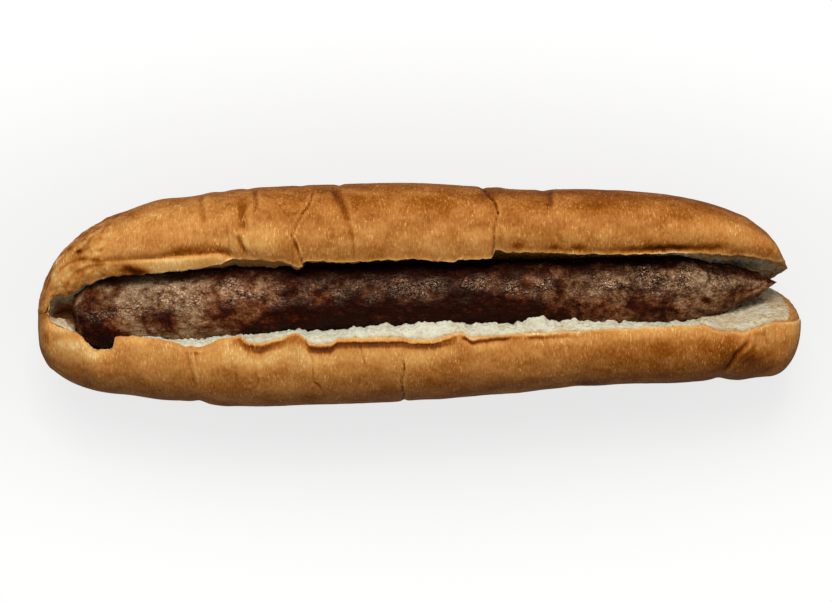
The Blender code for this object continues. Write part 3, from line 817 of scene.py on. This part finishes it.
def face_columns(x, start, side):
    """The torn face of one wall in offsets and heights, from its lip edge down to the bed's middle.

    The lower wall's face first bulges in over the kofta to a ragged ledge and then hugs the kofta down. The
    upper wall's face falls straight and then curves under. Towards the fork both open to a plain slope.
    """
    lip, top = start
    radius = kofta_radius(x) + KOFTA_ROOM
    centre = side * kofta_shift(x)
    floor = bed_height(x, top)
    places = on_axis(x)
    rough = 0.5 + 0.5 * value_noise(places, 11, 63)
    torn = 0.4 * fractal(places, 4.3, 2, 61) + (0.1 + 0.75 * rough) * fractal(places, 1.9, 2, 62, 0.9)
    if side < 0:
        under_crust = eased(x, -134, -130.5) * eased(x, -104, -110)
        ledge = np.minimum(along(CRUMB_EDGE, x) + torn, lip - 0.4 + 1.1 * under_crust)
        from_kofta = np.clip(ledge - centre, -radius, radius)
        ledge_height = KOFTA_HEIGHT + np.sqrt(np.maximum(radius**2 - from_kofta**2, 0)) + 0.3
        ledge_height = blend(ledge_height, top - 1.6, eased(x, -130, -137))
        ledge_height = np.clip(ledge_height, top - 9, top - 0.6)
        wall = np.maximum(radius + centre, ledge * 0.4)
        bulge, dip_power = 0.7, 1.6
    else:
        ledge = lip + along(UPPER_FACE, x) + 0.4 * torn
        ledge_height = top - 2.2 + 2.2 * np.minimum(along(UPPER_FACE, x), 0)
        wall = np.maximum(radius + centre, 0.5 * lip)
        bulge, dip_power = 0.2, 0.8
    share = np.linspace(0, 1, LEDGE_COLUMNS + 1)
    offsets = columns_between(lip, ledge, share)
    heights = columns_between(top, ledge_height, share**1.3) + bulge * np.sin(np.pi * share)

    turn = np.linspace(0, 1, WELL_COLUMNS + 1)[1:]
    middle = 5 * side * eased(x, -133, -139)
    down = np.sin(turn * np.pi / 2) ** 0.9
    inward = 1 - np.cos(turn * np.pi / 2) ** 0.9
    hug = np.sin(np.clip(turn * 1.6, 0, 1) * np.pi / 2)
    well_offsets = blend(columns_between(ledge, wall, hug), middle[:, None], inward**1.3)
    well_heights = columns_between(ledge_height, floor, down**0.9)

    slope = np.linspace(0, 1, LEDGE_COLUMNS + WELL_COLUMNS + 1)
    open_share = eased(x, *SLOPE_OPENS)[:, None]
    offsets = np.concatenate([offsets, well_offsets], axis=1)
    heights = np.concatenate([heights, well_heights], axis=1)
    offsets = blend(offsets, lip[:, None] * (1 - slope), open_share)
    return offsets, blend(heights, columns_between(top, floor, slope**dip_power), open_share)


def crumb_relief(points):
    """Height and tone of the torn crumb: soft lumps, crumbs, fine shreds and pores, of several sizes. The
    tone holds painted shade in the pores, between the crumbs and towards the far end.
    """
    bent = bent_by(points, 0.5, 2, 111)
    height = 0.36 * fractal(points, 4.1, 2, 71) + 0.5 * fractal(points, 1.5, 2, 72)
    pore, _ = cells(points, (2.4, 2, 2), 73)
    grain, _ = cells(bent, (1.7, 1.5, 1.5), 76)
    height = height - 0.5 * bell(pore, 0.25) + 0.62 * (dome(grain) - 0.5)
    # Painted shade in the pores and between the crumbs.
    tone = 0.25 * fractal(points, 6, 2, 74) - 0.42 * bell(pore, 0.26) + 0.46 * (dome(grain) - 0.55)
    # Painted shade on the crumb towards the far end.
    tone -= 0.4 * eased(points[..., 0], 92, 116)
    return height, tone


def build_crumb(sides, material):
    """The crumb: a closed body inside the crust, with the torn faces of both walls.

    share runs down a torn face, from 0 at the lip to 1 at the bed's middle.
    """
    walls, tones, ends = {}, {}, {}
    for side, part in sides.items():
        hidden = inside_wall(part, side, CRUMB_DEPTH, CRUMB_START)
        start = hidden[:, -1]
        body = len(hidden) - TIP_ROWS + 1
        x = part["rows"][:body, 0, 0]
        lip = side * (start[:body, 1] - split_line(x))
        face = section_points(x, side, *face_columns(x, (lip, start[:body, 2]), side))
        face = np.concatenate([face, tip_rows(face[-1], side)[0]])
        share = np.linspace(0, 1, face.shape[1])
        face = face + (start - face[:, 0])[:, None] * ((1 - share) ** 2)[None, :, None]
        normal = outward(face, side)
        relief, tone = crumb_relief(face)
        relief *= eased(face[..., 0], NEAR_END + 1.5, NEAR_END + 4.5)
        face = face + normal * (relief * (eased(share, 0, 0.06) * tip_fade(face)))[..., None]
        tone = tone + 0.12 - 0.65 * eased(share, 0.14, 0)
        place = face[..., 0]
        if side > 0:
            # The upper wall's face: darker throughout and more so along the middle, a painted shade under the
            # lip; darker deep in the near end's hollow; paler past x 104, a painted light on the tip's face.
            shaded = eased(place, -100, -85) * eased(place, 100, 84)
            deep_hollow = eased(place, -128, -133) * eased(share, 0.5, 0.68)
            tone = tone - 0.4 - 0.8 * shaded - 0.7 * deep_hollow + 0.25 * eased(place, 104, 124)
        else:
            tone -= 0.9 * eased(place, -128, -132) * eased(share, 0.45, 0.6)
            tone -= (0.4 + 0.35 * eased(share, 0.08, 0.3)) * eased(place, -128, -134)
            tone -= 0.2 * eased(place, 135, 142)
        tone -= 2 * eased(normal[..., 0], 0.26, 0.46) * eased(place, 139, 143)
        walls[side] = np.concatenate([hidden, face[:, 1:]], axis=1)
        tones[side] = np.concatenate([np.zeros(hidden.shape[:2]), tone[:, 1:]], axis=1)[..., None]
        ends[side] = part["point"] - (CRUMB_TIP_SET_IN * SKIN, 0, 0)
    walls[1][:body, -1] = 0.5 * (walls[1][:body, -1] + walls[-1][:body, -1])
    near_end = (NEAR_END + CRUMB_NEAR_SET_IN * SKIN, split_line(NEAR_END), WAIST)
    return add_forked("crumb", walls, tones, ends, near_end, material)


# ---- the kofta


# The rings and columns of its mesh, and how far the first and last ring lie from its ends.
KOFTA_ROWS = 500
KOFTA_COLUMNS = 176
END_RING_GAP = 0.05
# How charred the kofta is along its length, and how red.
CHAR = (
    (-136, 0.6), (-126, 0.66), (-118, 0.56), (-111, 0.28), (-84, 0.24), (-72, 0.42), (-56, 0.46),
    (-50, 0.66), (-30, 0.76), (10, 0.84), (34, 0.8), (42, 0.64), (54, 0.56), (66, 0.46), (90, 0.44),
    (108, 0.38), (120, 0.3), (134, 0.24), (141, 0.22),
)
RED = (
    (-136, 0.7), (-118, 0.6), (-108, 0.1), (-90, 0.25), (-76, 0.6), (-60, 0.45), (-45, 0.6), (40, 0.5),
    (54, 0.5), (62, 0.25), (72, 0.45), (80, 0.15), (122, 0.15), (130, 0.5), (141, 0.8),
)
# Scorched spots: (x, y, size, strength).
SCORCHES = (
    (22.5, 7, 2.2, 0.9), (-26, -3, 3.2, 0.7), (-22, -6, 2.6, 0.6), (111.5, -2.6, 1.8, 0.9),
    (-125, -12, 5, 0.35), (-36, 2, 3, 0.35), (60.5, -3, 2, 0.5), (52, 4, 4.5, 0.35), (-56, 3, 2.5, 0.3),
    (-98.5, -9.3, 6.5, 0.95), (-89, -7, 4, 0.3), (-76, -8.5, 4.5, 0.35), (-109, -9, 4, -0.2),
    (45, 3.5, 3, -0.25), (95, -9, 8, 0.2), (74, 0, 4, -0.1), (-60, 4, 4, -0.2), (-103, -1.5, 5, 0.15),
    (-79.5, 3, 4, 0.25), (-120.5, -18.2, 4.5, 0.9),
)
# Where the meat glistens most, and where pale specks are painted in as glints: (x, y, size, strength).
GLOSS = (
    (-93, 0, 8, 0.7), (-72, 2, 4.5, 0.8), (-60, 1, 5, 0.4), (-110, 4, 4, 0.5), (-12, 2, 6, 0.2),
    (24, 3, 4, 0.3), (50, 4, 4, 0.4), (89, 8, 5, 0.6), (103, 8.5, 4, 0.5), (75, 3, 5, 0.2),
    (-85, -6, 3, 0.3), (118, 4, 4, 0.2),
)


def kofta_points():
    """The kofta's plain surface: rings about its own line, each with the radius of that place."""
    turn = np.linspace(0, np.pi, KOFTA_ROWS)
    even = np.linspace(0, 1, KOFTA_ROWS)
    share = 0.8 * even + 0.2 * (1 - np.cos(turn)) / 2
    x = KOFTA_START + (KOFTA_END - KOFTA_START) * share
    x[[0, -1]] += (END_RING_GAP, -END_RING_GAP)
    radius = kofta_radius(x)
    around = np.linspace(0, 2 * np.pi, KOFTA_COLUMNS, endpoint=False)
    line = split_line(x) + kofta_shift(x) + 1.6 * eased(x, -124, -137)
    y = line[:, None] + radius[:, None] * np.cos(around)
    z = KOFTA_HEIGHT + radius[:, None] * np.sin(around)
    return np.stack([x[:, None] + 0 * y, y, z], axis=2), radius


def add_spots(value, points, spots, squash):
    """value with bell-shaped spots (x, y, size, strength) added, squash times as long as they are wide."""
    for place, across, size, strength in spots:
        away = np.hypot(points[..., 0] - place, (points[..., 1] - across) * squash)
        value = value + strength * bell(away, size)
    return value


def kofta_relief(points, x, radius):
    """Height, charring with painted shade, redness and shine: pressed lumps of minced meat, pits between
    them, and patches. The painted shade darkens the pits, the gaps between lumps and the upper and lower
    sides.

    aside says where round the kofta a point lies: 0 on its top line, 1 at its upper and -1 at its lower side.
    """
    bent = bent_by(points, 1.1, 3.2, 101)
    lump, owner = cells(bent, (6.6, 5.2, 5.2), 81)
    bit, shade = cells(bent, (2.9, 2.5, 2.5), 84)
    broad = fractal(points, (15, 10, 10), 2, 87)
    crumbly = fractal(bent, 1.5, 2, 88)
    grain, _ = cells(bent, (1.5, 1.4, 1.4), 95)
    height = 0.95 * (dome(lump) - 0.6) + 0.62 * (dome(bit) - 0.55) + 0.35 * broad + 0.14 * crumbly
    height += 0.2 * (dome(grain) - 0.55)
    pit = np.clip(value_noise(bent, (4.5, 3, 3), 89) - 0.42, 0, 1)
    height -= 1.8 * pit
    ragged = fractal(bent, (3.4, 2.4, 2.4), 2, 98)
    height += 0.85 * (ragged - 0.15) * eased(x, 114, 126)[:, None]
    aside = (points[..., 1] - split_line(points[..., 0])) / np.maximum(radius[:, None], 1)
    # The charring along the roll and per lump, with painted shade in the pits and between the lumps.
    char_and_shade = along(CHAR, x)[:, None] + 0.24 * broad + 0.24 * (owner - 0.5) + 0.22 * (shade - 0.5) + 0.6 * pit
    char_and_shade = char_and_shade + 0.22 * (0.6 - dome(lump)) + 0.16 * (0.55 - dome(bit)) + 0.1 * (0.55 - dome(grain))
    # Painted shade on the upper side, under the lip's shadow.
    shaded = 0.36 * eased(x, -108, -95) + 0.22 * eased(x, -85, -60) - 0.18
    top = 0.24 * eased(x, -95, -65) + 0.18 * bell(x - 2, 20) - 0.2 * bell(x + 36, 17) - 0.12
    top -= 0.1 * eased(x, -90, -102)
    char_and_shade = char_and_shade + shaded[:, None] * eased(aside, 0.38, 0.72) + top[:, None] * bell(aside - 0.12, 0.42)
    char_and_shade += (0.24 * eased(x, -98, -106))[:, None] * bell(aside - 0.02, 0.22)
    # Painted shade on the lower side, away from the light.
    low_side = 0.36 * eased(x, -76, -52) * eased(x, 68, 44) + 0.1 * eased(x, -118, -126)
    char_and_shade += low_side[:, None] * eased(aside, 0.05, -0.4)
    char_and_shade = add_spots(char_and_shade, bent, SCORCHES, 1.3)
    red = along(RED, x)[:, None] + 0.55 * fractal(points, (9, 6, 6), 2, 91) + 0.4 * eased(aside, 0.2, -0.4)
    torn_skin = eased(x, 122, 129)[:, None] * eased(aside, -0.45, -0.7)
    # Shine: gloss along the upper side and in the listed spots; it also places the painted glints.
    shine = 0.55 * bell(aside - 0.22, 0.4) * (0.7 + 1.3 * fractal(points, (6, 4, 4), 2, 97))
    return height, char_and_shade + 0.45 * torn_skin, red + 0.9 * torn_skin, add_spots(shine, bent, GLOSS, 1.2)


def build_kofta(material):
    """The kofta: one closed mesh of rings, pinched to a point at both ends."""
    rows, radius = kofta_points()
    height, char_and_shade, red, shine = kofta_relief(rows, rows[:, 0, 0], radius)
    normal = outward(np.concatenate([rows, rows[:, :1]], axis=1), -1)[:, :-1]
    fade = np.clip(radius / KOFTA_FADE_RADIUS, 0, 1)[:, None]
    rows = rows + normal * (height * fade)[..., None]
    ends = rows[[0, -1]].mean(axis=1)
    ends[0, 0], ends[1, 0] = KOFTA_START, KOFTA_END
    caps = [np.broadcast_to(end, rows[0].shape)[None] for end in ends]
    points = np.concatenate([caps[0], rows, caps[1]])
    faces = band_faces(np.arange(points.shape[0] * points.shape[1]).reshape(points.shape[:2]))
    values = [
        (label, np.concatenate([numbers[:1], numbers, numbers[-1:]]).reshape(-1))
        for label, numbers in (("char_and_shade", char_and_shade), ("red", red), ("shine", shine))
    ]
    return add_mesh("kofta_meat", points.reshape(-1, 3), faces, material, values)


# ---- materials


class Nodes:
    """A material's node tree with short ways to add and join nodes."""

    def __init__(self, name):
        self.material = bpy.data.materials.new(name)
        self.material.use_nodes = True
        self.tree = self.material.node_tree
        self.shader = self.tree.nodes["Principled BSDF"]
        self.place = self.add("ShaderNodeTexCoord").outputs["Object"]

    def fill(self, node, inputs):
        """Links the inputs whose value is another node's output, and sets the others."""
        for key, value in inputs:
            if isinstance(value, bpy.types.NodeSocket):
                self.tree.links.new(value, node.inputs[key])
            else:
                node.inputs[key].default_value = value

    def add(self, kind, inputs=(), **settings):
        """A new node with its inputs, as (name or number, value), and its settings."""
        node = self.tree.nodes.new(kind)
        for label, value in settings.items():
            setattr(node, label, value)
        self.fill(node, inputs)
        return node

    def plus(self, *values):
        return self.add("ShaderNodeMath", enumerate(values), operation="ADD").outputs[0]

    def times(self, *values):
        return self.add("ShaderNodeMath", enumerate(values), operation="MULTIPLY").outputs[0]

    def spread(self, value, low, high, to_low, to_high, **settings):
        """value, with the range from low to high spread over another one and cut off past its ends."""
        inputs = enumerate((value, low, high, to_low, to_high))
        return self.add("ShaderNodeMapRange", inputs, **settings).outputs[0]

    def varied(self, value, noise, most):
        """value with a noise added, which runs from -most to most."""
        return self.plus(value, self.spread(noise, 0.3, 0.7, -most, most))

    def attribute(self, label):
        return self.add("ShaderNodeAttribute", attribute_name=label).outputs["Fac"]

    def stretched(self, size):
        """Object coordinates in units of the given size in millimetres along X, Y and Z."""
        scale = [1 / (length * MM) for length in size]
        return self.add("ShaderNodeMapping", (("Vector", self.place), ("Scale", scale))).outputs[0]

    def noise(self, size, detail=2, rough=0.5):
        inputs = (("Vector", self.stretched(size)), ("Scale", 1), ("Detail", detail), ("Roughness", rough))
        return self.add("ShaderNodeTexNoise", inputs).outputs["Fac"]

    def cells(self, size):
        inputs = (("Vector", self.stretched(size)), ("Scale", 1))
        return self.add("ShaderNodeTexVoronoi", inputs).outputs["Distance"]

    def ramp(self, value, *stops):
        """The colour at value between stops, each (place, red, green, blue)."""
        node = self.add("ShaderNodeValToRGB", (("Fac", value),))
        elements = node.color_ramp.elements
        while len(elements) < len(stops):
            elements.new(0.5)
        for element, (place, *colour) in zip(elements, stops):
            element.position = place
            element.color = (*colour, 1)
        return node.outputs["Color"]

    def mix(self, share, first, second):
        return self.add("ShaderNodeMix", ((0, share), (6, first), (7, second)), data_type="RGBA").outputs[2]

    def bump(self, height, distance, strength=1):
        inputs = (("Height", height), ("Distance", distance * MM), ("Strength", strength))
        return self.add("ShaderNodeBump", inputs).outputs[0]

    def finish(self, **sockets):
        """The material, with the shader's own sockets linked or set by name, _ standing for a space."""
        self.fill(self.shader, ((label.replace("_", " "), value) for label, value in sockets.items()))
        return self.material


def crust_material():
    """Baked crust: tan to brown by the tone at each point, which also holds painted shade and highlights,
    mottled, with fine short pale flecks.
    """
    nodes = Nodes("bread crust")
    tone = nodes.attribute("tone")
    mottle = nodes.noise((9, 7, 7), 3)
    grain = nodes.noise((1, 1.6, 1.6), 3)
    streak = nodes.noise((0.7, 3, 3), 2, 0.6)
    fleck = nodes.noise((0.5, 1.8, 1.8), 1)
    cluster = nodes.spread(nodes.noise((8, 9, 9), 2), 0.38, 0.58, 0.2, 1)
    flecks = nodes.times(nodes.spread(fleck, 0.6, 0.68, 0, 1), cluster)
    for noise, most in ((mottle, 0.27), (grain, 0.18), (streak, 0.12)):
        tone = nodes.varied(tone, noise, most)
    tone = nodes.plus(tone, nodes.times(flecks, 0.7))
    colour = nodes.ramp(
        nodes.spread(tone, -2, 1.5, 0, 1),
        (0, 0.022, 0.005, 0.001), (0.22, 0.1, 0.021, 0.001), (0.38, 0.245, 0.07, 0.004),
        (0.5, 0.385, 0.143, 0.028), (0.6, 0.5, 0.215, 0.053), (0.75, 0.635, 0.342, 0.098),
        (0.88, 0.74, 0.51, 0.24), (1, 0.8, 0.67, 0.44),
    )
    rough = nodes.spread(grain, 0.3, 0.7, 0.48, 0.66)
    height = nodes.plus(nodes.times(grain, 0.5), nodes.times(flecks, 0.25))
    return nodes.finish(
        Base_Color=colour, Roughness=rough, Specular_IOR_Level=0.12, Specular_Tint=(1, 0.8, 0.55, 1),
        Normal=nodes.bump(height, 0.35, 0.6),
    )


def crumb_material():
    """Torn white crumb: cream, a little grey, tan where it meets the crust, and painted shade in its pores.
    """
    nodes = Nodes("bread crumb")
    tone = nodes.attribute("tone")
    soft = nodes.noise((5, 5, 5), 3)
    fine = nodes.noise((0.8, 0.8, 0.8), 3, 0.6)
    pore = nodes.cells((1.3, 1.1, 1.1))
    tone = nodes.varied(nodes.varied(tone, soft, 0.2), fine, 0.2)
    # Painted shade in the pores.
    tone = nodes.plus(tone, nodes.spread(pore, 0.05, 0.35, -0.25, 0))
    colour = nodes.ramp(
        nodes.spread(tone, -1, 0.8, 0, 1),
        (0, 0.4, 0.18, 0.045), (0.22, 0.455, 0.335, 0.2), (0.5, 0.575, 0.54, 0.4),
        (0.75, 0.645, 0.652, 0.532), (1, 0.705, 0.725, 0.645),
    )
    height = nodes.plus(nodes.times(fine, 0.7), nodes.times(pore, 0.6))
    return nodes.finish(
        Base_Color=colour, Roughness=0.85, Specular_IOR_Level=0.2, Subsurface_Weight=0.12,
        Subsurface_Radius=(1, 0.7, 0.4), Subsurface_Scale=1.5 * MM, Normal=nodes.bump(height, 0.6),
    )


def meat_material():
    """Grilled minced meat: grey-brown to nearly black by its charring and painted shade, redder in patches,
    wet in spots, and pale specks painted in as glints on its upper side.
    """
    nodes = Nodes("kofta meat")
    char_and_shade = nodes.attribute("char_and_shade")
    red = nodes.attribute("red")
    patch = nodes.noise((2.6, 2.6, 2.6), 4, 0.6)
    fine = nodes.noise((0.7, 0.7, 0.7), 3, 0.7)
    speck = nodes.noise((1.05, 0.75, 0.75), 2, 0.7)
    shine = nodes.spread(nodes.attribute("shine"), 0.1, 0.8, 0, 1)
    # Pale cream specks painted into the colour as glints, where the meat shines on its upper side.
    glint_mask = nodes.times(shine, nodes.spread(char_and_shade, 1, 0.35, 0.35, 1))
    painted_glints = nodes.times(nodes.spread(speck, 0.56, 0.65, 0, 0.85), glint_mask)
    char_and_shade = nodes.varied(nodes.varied(char_and_shade, patch, -0.24), fine, -0.24)
    char_and_shade = nodes.varied(char_and_shade, nodes.noise((9, 6.5, 6.5), 2), -0.1)
    brown = nodes.ramp(
        char_and_shade,
        (0, 0.345, 0.243, 0.148), (0.25, 0.215, 0.135, 0.073), (0.5, 0.098, 0.045, 0.018),
        (0.75, 0.032, 0.008, 0.003), (1, 0.01, 0.002, 0.001),
    )
    ruddy = nodes.ramp(
        char_and_shade,
        (0, 0.3, 0.175, 0.095), (0.35, 0.16, 0.055, 0.018), (0.7, 0.06, 0.01, 0.003),
        (1, 0.016, 0.002, 0.001),
    )
    colour = nodes.mix(nodes.spread(red, 0.1, 0.9, 0, 1), brown, ruddy)
    # Painted glints.
    colour = nodes.mix(painted_glints, colour, (0.7, 0.49, 0.33, 1))
    rough = nodes.spread(shine, 0, 1, 0.5, 0.16)
    glint = nodes.spread(shine, 0, 1, 0.08, 0.65)
    height = nodes.plus(nodes.noise((1.5, 1.1, 1.1), 2, 0.6), nodes.times(patch, 0.5))
    return nodes.finish(
        Base_Color=colour, Roughness=rough, Specular_IOR_Level=glint, Specular_Tint=(1, 0.68, 0.42, 1),
        Normal=nodes.bump(height, 0.85),
    )


def floor_material():
    """Near-white paper that glows a little, so that its shadows stay light, and greys softly by the bread: a
    painted shadow.
    """
    nodes = Nodes("pale floor")
    # Less glow near the bread: a painted shadow round it.
    place = nodes.stretched((165, 62, 1000))
    away = nodes.add("ShaderNodeVectorMath", ((0, place),), operation="LENGTH").outputs["Value"]
    glow = nodes.spread(away, 0.7, 2.1, 0.765, 0.9, interpolation_type="SMOOTHSTEP")
    return nodes.finish(
        Base_Color=(0.1, 0.1, 0.1, 1), Roughness=0.9, Specular_IOR_Level=0.05,
        Emission_Color=(1, 1, 1, 1), Emission_Strength=glow,
    )


# ---- floor, light and camera


# The area lights: (name, place, size, power, colour).
LIGHTS = (
    ("key light", (-0.05, 0.62, 1.1), 0.6, 13.4, (1, 0.985, 0.96)),
    ("sheen light", (0.1, 0.5, 0.9), 0.1, 2.2, (1, 0.9, 0.76)),
)
LIT_PLACE = (0, 0, 0.03)
FILL_COLOUR = (1, 0.985, 0.96, 1)
FILL_STRENGTH = 0.29
FLOOR_HALF = 3
CAMERA_PLACE = (-0.0008, -0.0026, 0.81)


def lamp(name, place, size, power, colour):
    """A square area light that faces the middle of the sandwich."""
    light = bpy.data.lights.new(name, "AREA")
    light.size = size
    light.energy = power
    light.color = colour
    holder = add_object(name, light)
    holder.location = place
    holder.rotation_euler = (Vector(LIT_PLACE) - Vector(place)).to_track_quat("-Z", "Y").to_euler()


def set_stage():
    """A pale floor, a large soft light from above the upper side, a small one for sheen, and a fill."""
    mesh = bpy.data.meshes.new("floor")
    square = ((-1, -1), (1, -1), (1, 1), (-1, 1))
    mesh.from_pydata([(x * FLOOR_HALF, y * FLOOR_HALF, 0) for x, y in square], [], [(0, 1, 2, 3)])
    mesh.materials.append(floor_material())
    floor = add_object("floor", mesh)
    floor.visible_diffuse = False
    floor.visible_glossy = False
    for light in LIGHTS:
        lamp(*light)
    world = bpy.data.worlds.new("studio")
    world.use_nodes = True
    fill = world.node_tree.nodes["Background"].inputs
    fill["Color"].default_value = FILL_COLOUR
    fill["Strength"].default_value = FILL_STRENGTH
    bpy.context.scene.world = world
    bpy.context.scene.view_settings.view_transform = "Standard"


def set_camera():
    """The photo's camera: straight above, looking down, with +Y up in the picture."""
    data = bpy.data.cameras.new("camera")
    data.lens = 85
    data.sensor_width = 36
    data.clip_start = 0.01
    camera = add_object("camera", data)
    camera.location = CAMERA_PLACE
    bpy.context.scene.camera = camera


# ---- the sandwich


def main():
    sides = crust_sides(row_places())
    crust = build_crust(sides, crust_material())
    crumb = build_crumb(sides, crumb_material())
    meat = build_kofta(meat_material())
    for piece, node, slot in (
        (crust, "roll", "bread_crust"), (crumb, "roll", "bread_crumb"), (meat, "kofta", "kofta_meat")
    ):
        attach(piece, "root")
        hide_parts(node)
        print(piece.name, len(piece.data.vertices), "points", len(piece.data.polygons), "faces")
    set_stage()
    set_camera()


main()
